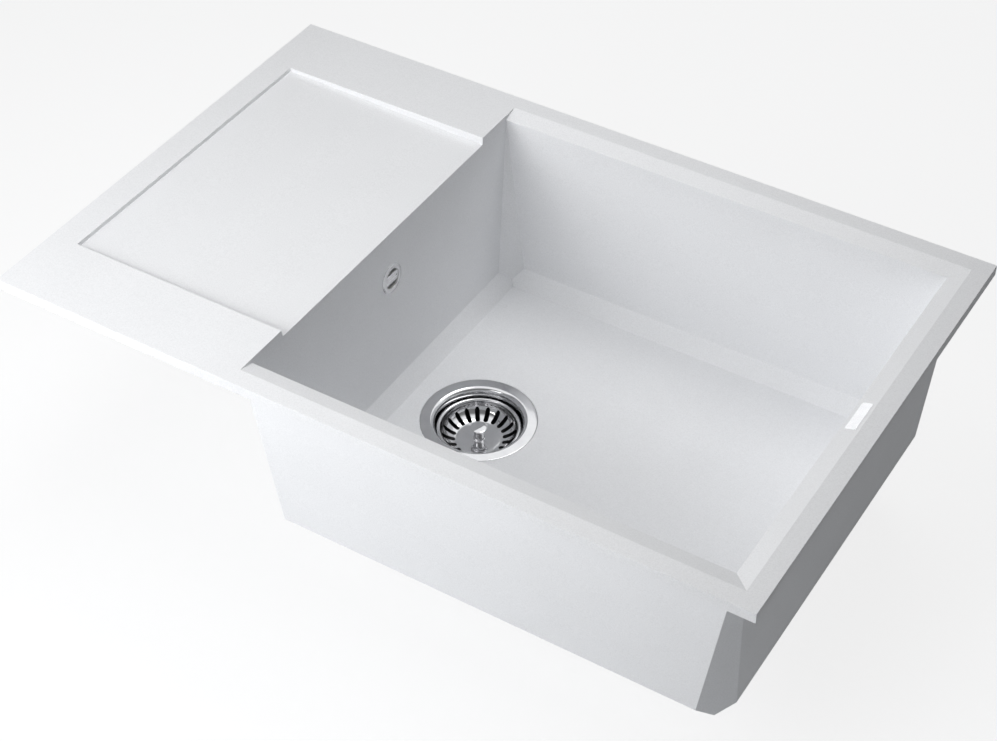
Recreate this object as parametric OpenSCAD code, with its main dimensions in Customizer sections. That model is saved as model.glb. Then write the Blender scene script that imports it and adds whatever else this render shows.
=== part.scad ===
// Inset kitchen sink of white mineral composite: one bowl, a drainer at its left, a basket
// strainer in the floor and a round overflow in the bowl's left wall. Lengths are in millimetres.
// The origin is the centre of the rim's outline on the worktop plane, which the rim's underside
// rests on. +X points to the bowl's end, +Y to the wall behind the sink and +Z up.

/* [Rim] */
// Length of the rim from left to right
rim_l = 780; // [770:5:860]
// Depth of the rim from front to back
rim_w = 500; // [480:5:520]
// Thickness of the rim above the worktop
rim_t = 11; // [9:0.5:14]

/* [Drainer] */
// Flat border at the drainer's left end
drainer_border = 30; // [20:1:40]
// Flat land in front of the drainer and behind it
drainer_land = 79; // [70:1:90]
// Depth of the drainer at its far end
drainer_far_d = 3.8; // [3:0.1:5]
// Depth of the drainer where it meets the bowl
drainer_near_d = 7.8; // [6:0.1:9]
// Lean of the drainer's side walls over that depth
drainer_lean = 1.2; // [0.5:0.1:2]

/* [Bowl] */
// Length of the bowl's mouth at the top of its walls
bowl_l = 478.7; // [440:0.1:490]
// Depth of the bowl below the rim's top
bowl_d = 200; // [180:1:220]
// Wall thickness of the bowl
shell_t = 11; // [9:0.5:12]
// Flat land between the rim's edge and the bevel
rim_land = 17.8; // [15:0.1:24]
// Width of the bevel round three sides of the mouth
bevel_w = 16.9; // [14:0.1:20]
// Drop of the bevel
bevel_d = 4.9; // [4:0.1:6]
// Inward lean of the walls from the rim's top down to their foot
wall_lean = 7; // [4:0.5:10]
// Size of the slanted band between the walls and the floor
band = 15.5; // [12:0.5:18]
// Leg of the corner facets at the foot of the walls
corner_leg = 19.8; // [16:0.1:24]

/* [Tap holes] */
// Diameter of the two blind tap holes under the rim
tap_d = 35; // [32:1:38]
// Depth of the tap holes from below
tap_depth = 7; // [5:0.5:7.5]
// Distance from the bowl's mouth to the tap holes
tap_from_bowl = 45; // [40:1:60]

/* [Waste] */
// Distance from the bowl's left mouth edge to the drain's axis
drain_from_wall = 100; // [98:0.5:160]
// Outer diameter of the strainer flange
flange_d = 117.2; // [114:0.2:120]
// Inner diameter of the strainer dish below its lip
dish_d = 88.4; // [88:0.2:90]
// Depth of the strainer dish
dish_depth = 42; // [40:0.5:46]
// Sheet thickness of the strainer dish
dish_t = 1; // [0.8:0.1:1.2]
// Thickness of the seal under the flange
flange_seal_t = 1.2; // [1:0.1:1.6]
// Thickness of the gasket under the floor
gasket_t = 3; // [2:0.5:4]
// Wall thickness of the waste body
waste_t = 3; // [2.5:0.1:3.5]
// Outer diameter of the threaded outlet, a one and a half inch pipe thread
outlet_d = 47.8; // [47:0.1:48]
// Length of the threaded outlet
outlet_l = 22; // [18:1:30]

/* [Basket] */
// Outer diameter of the basket's rolled rim
basket_d = 84.4; // [80:0.2:84.6]
// Drop of the top of the basket's rim below the floor
basket_drop = 9.2; // [8:0.1:11]
// Height of the basket from its rim to its flat disc
basket_h = 16.6; // [14:0.2:17]
// Diameter of the flat disc in the basket's middle
disc_d = 44.4; // [40:0.2:46]
// Sheet thickness of the basket
basket_t = 0.6; // [0.5:0.1:1]
// Number of slots round the basket
slot_count = 20; // [12:1:22]
// Width of a slot
slot_w = 3.4; // [2.5:0.1:3.8]
// Diameter of the knob's cap
knob_d = 16.6; // [14:0.2:18]
// Height of the knob above the disc
knob_h = 16; // [15:0.5:18]

/* [Overflow] */
// Drop of the overflow's axis below the rim's top
overflow_drop = 60; // [55:1:75]
// Outer diameter of the rosette
rosette_d = 32; // [30:0.5:36]
// Bore of the rosette and its threaded stub
rosette_bore_d = 21.4; // [20:0.2:23]
// Distance from the wall's face to the axis of the hose behind it
elbow_reach = 36; // [35:0.5:42]

/* [Hose] */
// Outer diameter of the overflow hose over its ribs
hose_d = 24; // [23:0.5:25]
// Outer diameter of the hose's smooth ends
cuff_d = 21; // [20:0.5:22]
// Bore of the hose
hose_bore_d = 18; // [16:0.5:18.5]
// Spacing of the ribs
rib_pitch = 4; // [3:0.5:6]
// Bend radius of the hose's centre line
hose_bend_r = 45; // [40:1:46]

/* [Hidden] */
$fn = 96;

// Overrun of every cut past the face that it opens
cut = 1;
// Gap round a part that drops into a moulded seat
seat_gap = 0.35;
// Gap of a sliding fit, measured on the radius
slide_gap = 0.3;
// Gap of a screwed or guided fit, measured on the radius
thread_gap = 0.1;
// Gap of a turning fit, measured on the radius
running_gap = 0.05;
// Steps in a quarter turn of a pressed profile
bend_steps = 6;

// Bowl
bowl_left = rim_l / 2 - rim_land - bevel_w - bowl_l;
bowl_right = rim_l / 2 - rim_land - bevel_w;
bowl_half_w = rim_w / 2 - rim_land - bevel_w;
wall_h = bowl_d - band;
wall_slope = wall_lean / wall_h;
bevel_z = rim_t - bevel_d;
foot_z = rim_t - wall_h;
floor_z = rim_t - bowl_d;
// Corners of the mouth at the foot of the bevel
mouth_low = [bowl_left + wall_slope * bevel_d, -bowl_half_w];
mouth_high = [bowl_right, bowl_half_w];
// Lean of the walls below the bevel
lower_lean = wall_slope * (bevel_z - foot_z);
// What an offset of one thickness adds to a leg that cuts a corner at 45 degrees
corner_share = 2 - sqrt(2);

// Drainer
drainer_left = drainer_border - rim_l / 2;
drainer_half_w = rim_w / 2 - drainer_land;
drainer_slope = (drainer_near_d - drainer_far_d) / (bowl_left - drainer_left);

// Tap holes
tap_x = bowl_left - tap_from_bowl;
tap_y = rim_w / 2 - drainer_land / 2;

// Drain hole
drain_x = bowl_left + drain_from_wall;
flange_r = flange_d / 2;
dish_r = dish_d / 2;
// Radius of the rounded lip between flange and dish
lip_r = 5;
lip_centre_r = dish_r + lip_r;
hole_r = dish_r + dish_t + slide_gap * 2;
// Countersink that makes room for the lip
countersink_w = 4;
recess_d = dish_t + flange_seal_t;

// Dish
dish_corner_r = 8;
// Inward lean of the dish's wall over its height
dish_lean = 7;
dish_hole_r = 4.5;
dish_hole_count = 8;
dish_hole_ring_r = 15.2;

// Screw and nut
screw_r = 4;
screw_head_r = 8.5;
screw_head_h = 9;
screw_socket_r = 5.6;
screw_socket_d = 7.4;
screw_slot_w = 2.2;
screw_slot_d = 2;
nut_r = 7.5;
nut_h = 6.5;
// Thread that shows below the nut
screw_end = 2;

// Waste body
gasket_w = 9;
// Room between the dish and the cup round it, and the cup's flange past its gasket
body_room = 1.5;
body_flange_lip = 1;
body_flange_t = 4;
body_cup_h = 32;
body_cone_h = 18;
body_cup_r = hole_r + body_room;
body_flange_r = body_cup_r + gasket_w + body_flange_lip;
outlet_r = outlet_d / 2;
outlet_bore_r = outlet_r - waste_t;
gasket_z = -shell_t;
body_top_z = gasket_z - gasket_t;
body_cone_z = body_top_z - body_cup_h;
outlet_top_z = body_cone_z - body_cone_h;
outlet_end_z = outlet_top_z - outlet_l;
boss_r = 10;
boss_top_z = -dish_depth - dish_t;
boss_h = 25;
nut_pocket_d = 8;
web_t = 3;
web_count = 4;
web_drop = 3;
web_h = 15;

// Hose unions
union_r = 13.2;
union_seat_d = 9;
union_seal_t = 3;
union_nut_r = 16.5;
union_nut_l = 17;
union_nut_end = 3;
union_grip_r = 1.2;
union_grip_count = 14;
// Length of the threaded spigot behind each seat
union_spigot_l = 14;
cuff_r = cuff_d / 2;
socket_r = cuff_r + slide_gap;
hose_bore_r = hose_bore_d / 2;

// Port on the waste body, from the drain's axis to the spigot's end
port_room = 2;
port_reach = body_flange_r + union_spigot_l + port_room;
port_drop = 33;
port_z = floor_z - port_drop;

// Overflow
overflow_z = rim_t - overflow_drop;
overflow_x = bowl_left + wall_slope * overflow_drop;
wall_angle = atan(wall_slope);
wall_through = shell_t * cos(wall_angle);
stub_t = 1.2;
stub_bore_r = rosette_bore_d / 2;
stub_r = stub_bore_r + stub_t;
overflow_hole_r = stub_r + slide_gap * 2;
rosette_t = 0.9;
rosette_edge_t = 0.3;
rosette_edge_w = 2.2;
// Cross bar of the rosette, whose face stands this far off the wall
bar_h = 10.3;
bar_t = 2.4;
bar_rise = 0.3;
bar_groove_w = 2;
bar_groove_d = 0.6;
// Rest of the bar past each end of its groove
bar_groove_rim = 2.3;
stub_grip = 8;
overflow_seal_t = 3;
overflow_seal_w = 7;
elbow_flange_t = 4;
elbow_t = 3;
elbow_socket_r = stub_r + elbow_t;
elbow_flange_lip = 1;
elbow_flange_r = stub_r + overflow_seal_w + elbow_flange_lip;
// Length of the elbow's spigot below its socket
elbow_spigot_l = 28;
elbow_face = wall_through + overflow_seal_t;
elbow_x = overflow_x - elbow_reach;
elbow_end_z = overflow_z - elbow_socket_r - elbow_spigot_l;

// Hose
hose_top_z = elbow_end_z + union_seat_d;
hose_end_x = drain_x - port_reach + union_seat_d;
hose_drop_l = hose_top_z - port_z - hose_bend_r;
hose_arc_l = hose_bend_r * PI / 2;
hose_run_l = hose_end_x - elbow_x - hose_bend_r;
hose_l = hose_drop_l + hose_arc_l + hose_run_l;
cuff_l = hose_d;
rib_count = floor((hose_l - 2 * cuff_l) / rib_pitch);
rib_step = (hose_l - 2 * cuff_l) / rib_count;
hose_sides = 8;

// Basket
disc_r = disc_d / 2;
basket_r = basket_d / 2;
// Radius of the rolled rim, which the wall starts from
basket_roll_r = 1.9;
basket_wall_r = basket_r - 2 * basket_roll_r;
basket_wall_top_z = -basket_drop - basket_roll_r;
basket_floor_z = -basket_drop - basket_h;
basket_steps = 12;
// Exponent that makes the wall straighter than an ellipse
basket_wall_share = 1.16;
// Slots: from a rim of metal round the disc to a rim of metal under the roll
slot_inner_rim = 2.4;
slot_outer_rim = 1.6;
// Turn of the ring of slots from the X axis, in degrees
slot_turn = -1.2;
slot_inner_r = disc_r + slot_inner_rim;
slot_outer_r = basket_wall_r - slot_outer_rim;

// Knob and stem
knob_r = knob_d / 2;
knob_foot_r = 6.2;
knob_neck_r = 4.9;
knob_foot_h = 1.2;
// Cap: a low dome over a thin edge, on a neck that flares out to it
knob_dome_h = 1.2;
knob_edge_h = 1.4;
knob_flare_h = 4;
knob_socket_d = 11;
stem_r = 2.5;
rivet_r = 3.6;
rivet_h = 1;

// Stopper, its retainer and the clip
stopper_t = 3;
stopper_r = 22;
stopper_foot_r = 25.5;
stopper_wall = 3;
retainer_r = 9;
retainer_t = 1.2;
clip_r = screw_socket_r - slide_gap;
clip_collar_r = 4.2;
clip_collar_h = 3;
clip_slit_w = 1.2;
stopper_top_z = basket_floor_z - basket_t;
retainer_top_z = stopper_top_z - stopper_t;
clip_top_z = retainer_top_z - retainer_t - running_gap;
clip_end_z = -dish_depth + screw_head_h - screw_socket_d + rivet_h + slide_gap * 2;
stem_end_z = clip_end_z - running_gap;

// Points on an arc
function arc(centre, r, from, to) =
    [for (i = [0 : bend_steps]) centre + r * [cos(from + (to - from) * i / bend_steps),
                                              sin(from + (to - from) * i / bend_steps)]];

// Unit vector from one point to the next
function along(a, b) = (b - a) / norm(b - a);

// A direction turned a quarter turn to its left
function to_left(v) = [-v.y, v.x];

// Point beside bend i of a path, the thickness t away from both of its steps
function beside(path, i, t) =
    let (last = len(path) - 1)
    let (into = to_left(along(path[max(i, 1) - 1], path[max(i, 1)])))
    let (out = to_left(along(path[min(i, last - 1)], path[min(i, last - 1) + 1])))
    path[i] + t * (into + out) / (1 + into * out);

// Sheet pressed round the vertical axis, with its shown face along the path
module pressed_sheet(path, t) {
    back = [for (i = [len(path) - 1 : -1 : 0]) beside(path, i, t)];
    rotate_extrude() polygon(concat(path, back));
}

// Flat ring that lies on z and reaches down from it
module ring(outer_r, inner_r, z, t) {
    translate([0, 0, z - t])
        difference() {
            cylinder(r = outer_r, h = t);
            translate([0, 0, -cut]) cylinder(r = inner_r, h = t + 2 * cut);
        }
}

// Frames of the drain, the overflow and the two hose unions
module at_drain() {
    translate([drain_x, 0, floor_z]) children();
}

module at_overflow() {
    translate([overflow_x, 0, overflow_z]) rotate([0, 90 - wall_angle, 0]) children();
}

module at_upper_union() {
    translate([elbow_x, 0, elbow_end_z]) rotate([180, 0, 0]) children();
}

module at_lower_union() {
    translate([drain_x - port_reach, 0, port_z]) rotate([0, -90, 0]) children();
}

// Convex body through a list of points
module body_through(points) {
    hull() polyhedron(points = points, faces = [[for (i = [0 : len(points) - 1]) i]]);
}

// Signs of the four corners of a level rectangle
CORNERS = [[-1, -1], [1, -1], [1, 1], [-1, 1]];

// Point inside a rectangle's corner, a along X and b along Y from its sides
function inside(low, high, corner, a, b, z) = [
    corner.x < 0 ? low.x + a : high.x - a,
    corner.y < 0 ? low.y + b : high.y - b,
    z
];

// Leaning walls, corner facets that widen downwards, and a slanted band round the floor.
// The facets run out in a point on the band, at a drop that follows from their slope.
function bowl_points(low, high, top_z, low_z, lean, top_leg, foot_leg, foot_band) =
    let (spread = (foot_leg - top_leg + 2 * lean) / (top_z - low_z))
    let (point_d = foot_leg / (2 - spread))
    [
        for (c = CORNERS)
            each [
                inside(low, high, c, top_leg, 0, top_z),
                inside(low, high, c, 0, top_leg, top_z),
                inside(low, high, c, lean + foot_leg, lean, low_z),
                inside(low, high, c, lean, lean + foot_leg, low_z),
                inside(low, high, c, lean + point_d, lean + point_d, low_z - point_d),
                inside(low, high, c, lean + foot_band, lean + foot_band, low_z - foot_band)
            ]
    ];

module bowl_cavity() {
    walls = bowl_points(mouth_low, mouth_high, bevel_z, foot_z, lower_lean, 0, corner_leg, band);
    collar = [for (c = CORNERS) inside(mouth_low, mouth_high, c, 0, 0, bevel_z + cut)];
    body_through(concat(walls, collar));
}

module bowl_outside() {
    margin = [shell_t, shell_t];
    outer_foot_z = foot_z - shell_t * (1 - corner_share);
    extra_leg = shell_t * corner_share;
    body_through(bowl_points(
        mouth_low - margin, mouth_high + margin, bevel_z, outer_foot_z,
        wall_slope * (bevel_z - outer_foot_z), extra_leg, corner_leg + extra_leg,
        band + extra_leg));
}

// The bevel's opening reaches the overrun above the rim, along the same slopes
module bevel_cavity() {
    rise = (bevel_d + cut) / bevel_d;
    left = mouth_low.x - wall_slope * (bevel_d + cut);
    out = bevel_w * rise;
    body_through([
        for (c = CORNERS)
            each [
                inside(mouth_low, mouth_high, c, 0, 0, bevel_z),
                [c.x < 0 ? left : mouth_high.x + out, c.y * (bowl_half_w + out), rim_t + cut]
            ]
    ]);
}

// Drainer's form: level on top and falling to the bowl below. It is grown all round and lowered
// to make the pan that carries it.
module drainer_form(grow, drop, top_z) {
    near_x = bowl_left + cut;
    near_d = drainer_near_d + drainer_slope * cut;
    far_lean = drainer_lean * drainer_far_d / drainer_near_d;
    body_through([
        for (side = [-1, 1])
            each [
                [drainer_left - grow, side * (drainer_half_w + grow), top_z],
                [near_x, side * (drainer_half_w + grow), top_z],
                [drainer_left - grow, side * (drainer_half_w + grow), rim_t - drop],
                [near_x, side * (drainer_half_w + grow), rim_t - drop],
                [drainer_left - grow + far_lean, side * (drainer_half_w + grow - far_lean),
                    rim_t - drop - drainer_far_d],
                [near_x, side * (drainer_half_w + grow - drainer_lean), rim_t - drop - near_d]
            ]
    ]);
}

module drain_hole() {
    at_drain() {
        translate([0, 0, -recess_d]) cylinder(r = flange_r + seat_gap, h = recess_d + cut);
        translate([0, 0, -recess_d - countersink_w])
            cylinder(r1 = hole_r, r2 = hole_r + countersink_w, h = countersink_w);
        translate([0, 0, -shell_t - cut]) cylinder(r = hole_r, h = shell_t);
    }
}

module tap_holes() {
    for (side = [-1, 1])
        translate([tap_x, side * tap_y, -cut]) cylinder(d = tap_d, h = tap_depth + cut);
}

module basin() {
    color("white")
        difference() {
            union() {
                translate([-rim_l / 2, -rim_w / 2, 0]) cube([rim_l, rim_w, rim_t]);
                drainer_form(shell_t, rim_t, rim_t / 2);
                bowl_outside();
            }
            bowl_cavity();
            bevel_cavity();
            drainer_form(0, 0, rim_t + cut);
            drain_hole();
            tap_holes();
            at_overflow()
                translate([0, 0, -wall_through - cut])
                    cylinder(r = overflow_hole_r, h = wall_through + 2 * cut);
        }
}

// Flange, rounded lip, leaning wall, rounded corner and flat bottom
module strainer_flange() {
    foot_r = dish_r - dish_lean;
    path = concat(
        [[flange_r, 0]],
        arc([lip_centre_r, -lip_r], lip_r, 90, 180),
        arc([foot_r - dish_corner_r, -dish_depth + dish_corner_r], dish_corner_r, 0, -90),
        [[0, -dish_depth]]
    );
    color("silver")
        at_drain()
            difference() {
                pressed_sheet(path, dish_t);
                translate([0, 0, -dish_depth - dish_t - cut])
                    cylinder(r = screw_r + thread_gap, h = dish_t + 2 * cut);
                for (i = [0 : dish_hole_count - 1])
                    rotate([0, 0, 360 / dish_hole_count * i])
                        translate([dish_hole_ring_r, 0, -dish_depth - dish_t - cut])
                            cylinder(r = dish_hole_r, h = dish_t + 2 * cut);
            }
}

module flange_seal() {
    color("dimgray")
        at_drain() ring(flange_r, hole_r + countersink_w, -dish_t, flange_seal_t);
}

module body_gasket() {
    color("dimgray")
        at_drain() ring(body_cup_r + gasket_w, body_cup_r, gasket_z, gasket_t);
}

// Waste body as turned, without its boss, webs and port
module waste_shell(inner) {
    grow = inner ? 0 : waste_t;
    top = inner ? body_top_z + cut : body_top_z;
    end = inner ? outlet_end_z - cut : outlet_end_z;
    end_r = inner ? outlet_bore_r : outlet_r;
    rotate_extrude()
        polygon([
            [0, top],
            [body_cup_r + grow, top],
            [body_cup_r + grow, body_cone_z],
            [end_r, outlet_top_z],
            [end_r, end],
            [0, end]
        ]);
}

module waste_body() {
    boss_end_z = boss_top_z - boss_h;
    web_top_z = boss_top_z - web_drop;
    color([0.9, 0.9, 0.88])
        difference() {
            union() {
                at_drain() {
                    difference() {
                        union() {
                            waste_shell(false);
                            ring(body_flange_r, body_cup_r, body_top_z, body_flange_t);
                        }
                        waste_shell(true);
                    }
                    translate([0, 0, boss_end_z]) cylinder(r = boss_r, h = boss_h);
                    intersection() {
                        waste_shell(false);
                        for (i = [0 : web_count - 1])
                            rotate([0, 0, 360 / web_count * (i + 1 / 2)])
                                translate([0, -web_t / 2, web_top_z - web_h])
                                    cube([body_cup_r + waste_t / 2, web_t, web_h]);
                    }
                }
                at_lower_union()
                    translate([0, 0, body_cup_r + waste_t / 2 - port_reach])
                        cylinder(r = union_r, h = port_reach - body_cup_r - waste_t / 2);
            }
            at_drain() {
                translate([0, 0, boss_end_z - cut])
                    cylinder(r = screw_r + thread_gap, h = boss_h + 2 * cut);
                translate([0, 0, boss_end_z - cut])
                    cylinder(r = nut_r + slide_gap, h = nut_pocket_d + cut, $fn = 6);
            }
            at_lower_union() {
                translate([0, 0, body_cup_r - port_reach - cut])
                    cylinder(r = hose_bore_r, h = port_reach - body_cup_r + 2 * cut);
                translate([0, 0, -union_seat_d]) cylinder(r = socket_r, h = union_seat_d + cut);
            }
        }
}

// Hollow head with a coin slot, over a plain shank that stands for the thread
module clamp_screw() {
    head_z = -dish_depth + screw_head_h;
    shank_end_z = boss_top_z - boss_h - screw_end;
    color("silver")
        at_drain()
            difference() {
                union() {
                    translate([0, 0, -dish_depth]) cylinder(r = screw_head_r, h = screw_head_h);
                    translate([0, 0, shank_end_z])
                        cylinder(r = screw_r, h = -dish_depth - shank_end_z);
                }
                translate([0, 0, head_z - screw_socket_d])
                    cylinder(r = screw_socket_r, h = screw_socket_d + cut);
                translate([-screw_head_r - cut, -screw_slot_w / 2, head_z - screw_slot_d])
                    cube([2 * (screw_head_r + cut), screw_slot_w, screw_slot_d + cut]);
            }
}

module clamp_nut() {
    top_z = boss_top_z - boss_h + nut_pocket_d;
    color("goldenrod")
        at_drain()
            translate([0, 0, top_z - nut_h])
                difference() {
                    cylinder(r = nut_r, h = nut_h, $fn = 6);
                    translate([0, 0, -cut])
                        cylinder(r = screw_r + thread_gap, h = nut_h + 2 * cut);
                }
}

// One slot seen from above, with round ends
module slot_outline() {
    r = slot_w / 2;
    translate([slot_inner_r + r, 0]) circle(r = r);
    translate([slot_outer_r - r, 0]) circle(r = r);
    translate([slot_inner_r + r, -r]) square([slot_outer_r - slot_inner_r - slot_w, slot_w]);
}

// Rolled rim, bowl-shaped wall and flat disc, with slots all round
module basket_cup() {
    wall_w = basket_wall_r - disc_r;
    wall_drop = basket_wall_top_z - basket_floor_z;
    path = concat(
        arc([basket_r - basket_roll_r, basket_wall_top_z], basket_roll_r, 0, 180),
        [
            for (i = [1 : basket_steps])
                [disc_r + wall_w * pow(cos(90 * i / basket_steps), basket_wall_share),
                    basket_wall_top_z - wall_drop * pow(sin(90 * i / basket_steps), basket_wall_share)]
        ],
        [[0, basket_floor_z]]
    );
    color("silver")
        at_drain()
            difference() {
                pressed_sheet(path, basket_t);
                translate([0, 0, basket_floor_z - basket_t - cut])
                    cylinder(r = stem_r + running_gap, h = basket_t + 2 * cut);
                for (i = [0 : slot_count - 1])
                    rotate([0, 0, 360 / slot_count * i + slot_turn])
                        translate([0, 0, basket_floor_z - basket_t - cut])
                            linear_extrude(basket_h + basket_t) slot_outline();
            }
}

// Turned knob: foot, flared neck and low-domed cap, bored from below for the stem
module basket_knob() {
    dome_z = knob_h - knob_dome_h;
    edge_z = dome_z - knob_edge_h;
    flare_z = edge_z - knob_flare_h;
    color("silver")
        at_drain()
            translate([0, 0, basket_floor_z])
                difference() {
                    rotate_extrude()
                        polygon(concat(
                            [
                                [0, 0],
                                [knob_foot_r, 0],
                                [knob_foot_r, knob_foot_h],
                                [knob_neck_r, knob_foot_h * 2]
                            ],
                            [
                                for (i = [0 : bend_steps])
                                    [knob_r - (knob_r - knob_neck_r) * cos(90 * i / bend_steps),
                                        flare_z + knob_flare_h * sin(90 * i / bend_steps)]
                            ],
                            [
                                for (i = [0 : bend_steps])
                                    [knob_r * cos(90 * i / bend_steps),
                                        dome_z + knob_dome_h * sin(90 * i / bend_steps)]
                            ]
                        ));
                    translate([0, 0, -cut])
                        cylinder(r = stem_r + running_gap, h = knob_socket_d + cut);
                }
}

module basket_stem() {
    top_z = basket_floor_z + knob_socket_d - slide_gap;
    color("gainsboro")
        at_drain() {
            translate([0, 0, stem_end_z]) cylinder(r = stem_r, h = top_z - stem_end_z);
            translate([0, 0, stem_end_z - rivet_h]) cylinder(r = rivet_r, h = rivet_h);
        }
}

// Rubber bell over the screw's head, whose foot closes the dish's holes
module basket_stopper() {
    foot_z = -dish_depth + slide_gap;
    color("black")
        at_drain()
            rotate_extrude()
                polygon([
                    [stem_r + running_gap, stopper_top_z],
                    [stopper_r, stopper_top_z],
                    [stopper_foot_r, foot_z],
                    [stopper_foot_r - stopper_wall, foot_z],
                    [stopper_r - stopper_wall, retainer_top_z],
                    [stem_r + running_gap, retainer_top_z]
                ]);
}

module stopper_retainer() {
    color("silver")
        at_drain() ring(retainer_r, stem_r + running_gap, retainer_top_z, retainer_t);
}

// Collar on the stem over four springy claws
module basket_clip() {
    color("whitesmoke")
        at_drain()
            difference() {
                union() {
                    translate([0, 0, clip_top_z - clip_collar_h])
                        cylinder(r = clip_collar_r, h = clip_collar_h);
                    translate([0, 0, clip_end_z])
                        cylinder(r = clip_r, h = clip_top_z - clip_collar_h - clip_end_z);
                }
                translate([0, 0, clip_end_z - cut])
                    cylinder(r = stem_r + running_gap, h = clip_top_z - clip_end_z + 2 * cut);
                for (turn = [0, 90])
                    rotate([0, 0, turn])
                        translate([-clip_r - cut, -clip_slit_w / 2, clip_end_z - cut])
                            cube([
                                2 * (clip_r + cut),
                                clip_slit_w,
                                clip_top_z - clip_collar_h - clip_end_z + cut
                            ]);
            }
}

// Ring with a threaded stub and a grooved cross bar
module overflow_rosette() {
    rosette_r = rosette_d / 2;
    stub_end = -elbow_face - stub_grip;
    groove_l = 2 * (stub_bore_r - bar_groove_rim);
    color("silver")
        at_overflow() {
            rotate_extrude()
                polygon([
                    [stub_bore_r, stub_end],
                    [stub_r, stub_end],
                    [stub_r, 0],
                    [rosette_r, 0],
                    [rosette_r, rosette_edge_t],
                    [rosette_r - rosette_edge_w, rosette_t],
                    [stub_bore_r, rosette_t]
                ]);
            intersection() {
                translate([0, 0, bar_rise - bar_t]) cylinder(r = stub_bore_r + stub_t / 2, h = bar_t);
                difference() {
                    translate([-bar_h / 2, -stub_r, bar_rise - bar_t])
                        cube([bar_h, 2 * stub_r, bar_t]);
                    translate([-bar_groove_w / 2, -groove_l / 2, bar_rise - bar_groove_d])
                        cube([bar_groove_w, groove_l, bar_groove_d + cut]);
                }
            }
        }
}

module overflow_seal() {
    color("dimgray")
        at_overflow()
            ring(stub_r + overflow_seal_w, stub_r + slide_gap, -wall_through, overflow_seal_t);
}

// Flanged socket for the rosette's stub, turned down into the hose's spigot
module overflow_elbow() {
    chamber_top_z = overflow_z + elbow_socket_r;
    color([0.9, 0.9, 0.88])
        difference() {
            union() {
                at_overflow() {
                    ring(elbow_flange_r, stub_r, -elbow_face, elbow_flange_t);
                    translate([0, 0, -elbow_reach])
                        cylinder(r = elbow_socket_r, h = elbow_reach - elbow_face);
                }
                translate([elbow_x, 0, elbow_end_z])
                    cylinder(r = union_r, h = overflow_z - elbow_end_z);
                translate([elbow_x, 0, overflow_z]) sphere(r = elbow_socket_r);
            }
            at_overflow() {
                translate([0, 0, -elbow_reach])
                    cylinder(r = stub_bore_r, h = elbow_reach);
                translate([0, 0, -elbow_face - stub_grip - slide_gap])
                    cylinder(r = stub_r + thread_gap, h = stub_grip + slide_gap + cut);
            }
            translate([elbow_x, 0, overflow_z]) sphere(r = stub_bore_r);
            translate([elbow_x, 0, elbow_end_z - cut])
                cylinder(r = hose_bore_r, h = overflow_z - elbow_end_z);
            at_upper_union()
                translate([0, 0, -union_seat_d]) cylinder(r = socket_r, h = union_seat_d + cut);
        }
}

// Union nut on a spigot that ends at zero, with the hose above it
module hose_nut() {
    top = union_seal_t + union_nut_end;
    color("whitesmoke")
        difference() {
            translate([0, 0, top - union_nut_l]) cylinder(r = union_nut_r, h = union_nut_l);
            translate([0, 0, top - union_nut_l - cut])
                cylinder(r = union_r + thread_gap, h = union_nut_l - union_nut_end + cut);
            cylinder(r = socket_r, h = top + cut);
            for (i = [0 : union_grip_count - 1])
                rotate([0, 0, 360 / union_grip_count * i])
                    translate([union_nut_r, 0, top - union_nut_l - cut])
                        cylinder(r = union_grip_r, h = union_nut_l + 2 * cut);
        }
}

module hose_seal() {
    color("dimgray") ring(union_r, cuff_r + thread_gap, union_seal_t, union_seal_t);
}

// The hose's centre line: down from the elbow, a quarter bend, and along to the port.
// Each entry is its x, its z and its heading, which is 0 for down and 90 for along +X.
function hose_place(s) =
    s < hose_drop_l ? [elbow_x, hose_top_z - s, 0]
    : s < hose_drop_l + hose_arc_l
        ? let (turn = 90 * (s - hose_drop_l) / hose_arc_l)
            [elbow_x + hose_bend_r * (1 - cos(turn)), port_z + hose_bend_r * (1 - sin(turn)), turn]
    : [hose_end_x - (hose_l - s), port_z, 90];

// Ring of the hose at the distance s, square to the centre line
function hose_ring(s, r) =
    let (p = hose_place(s))
    [
        for (i = [0 : hose_sides - 1])
            let (a = 360 / hose_sides * (i + 1 / 2))
            [p[0] + r * cos(a) * cos(p[2]), r * sin(a), p[1] + r * cos(a) * sin(p[2])]
    ];

// Outer skin with its ribs, and the bore back again
module overflow_hose() {
    outer = concat(
        [hose_ring(0, cuff_r), hose_ring(cuff_l, cuff_r)],
        [
            for (i = [0 : rib_count - 1])
                each [
                    hose_ring(cuff_l + rib_step * (i + 1 / 2), hose_d / 2),
                    hose_ring(cuff_l + rib_step * (i + 1), cuff_r)
                ]
        ],
        [hose_ring(hose_l, cuff_r)]
    );
    bore = concat(
        [hose_ring(hose_l, hose_bore_r)],
        [for (i = [rib_count : -1 : 0]) hose_ring(cuff_l + rib_step * i, hose_bore_r)],
        [hose_ring(0, hose_bore_r)]
    );
    rings = concat(outer, bore);
    n = len(rings);
    color("lightgray")
        polyhedron(
            points = [for (ring = rings) each ring],
            faces = [
                for (k = [0 : n - 1])
                    for (i = [0 : hose_sides - 1])
                        let (here = k * hose_sides, next = (k + 1) % n * hose_sides)
                        let (j = (i + 1) % hose_sides)
                        each [
                            [here + i, here + j, next + j],
                            [here + i, next + j, next + i]
                        ]
            ]
        );
}

module upper_hose_nut() {
    at_upper_union() hose_nut();
}

module upper_hose_seal() {
    at_upper_union() hose_seal();
}

module lower_hose_nut() {
    at_lower_union() hose_nut();
}

module lower_hose_seal() {
    at_lower_union() hose_seal();
}

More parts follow.
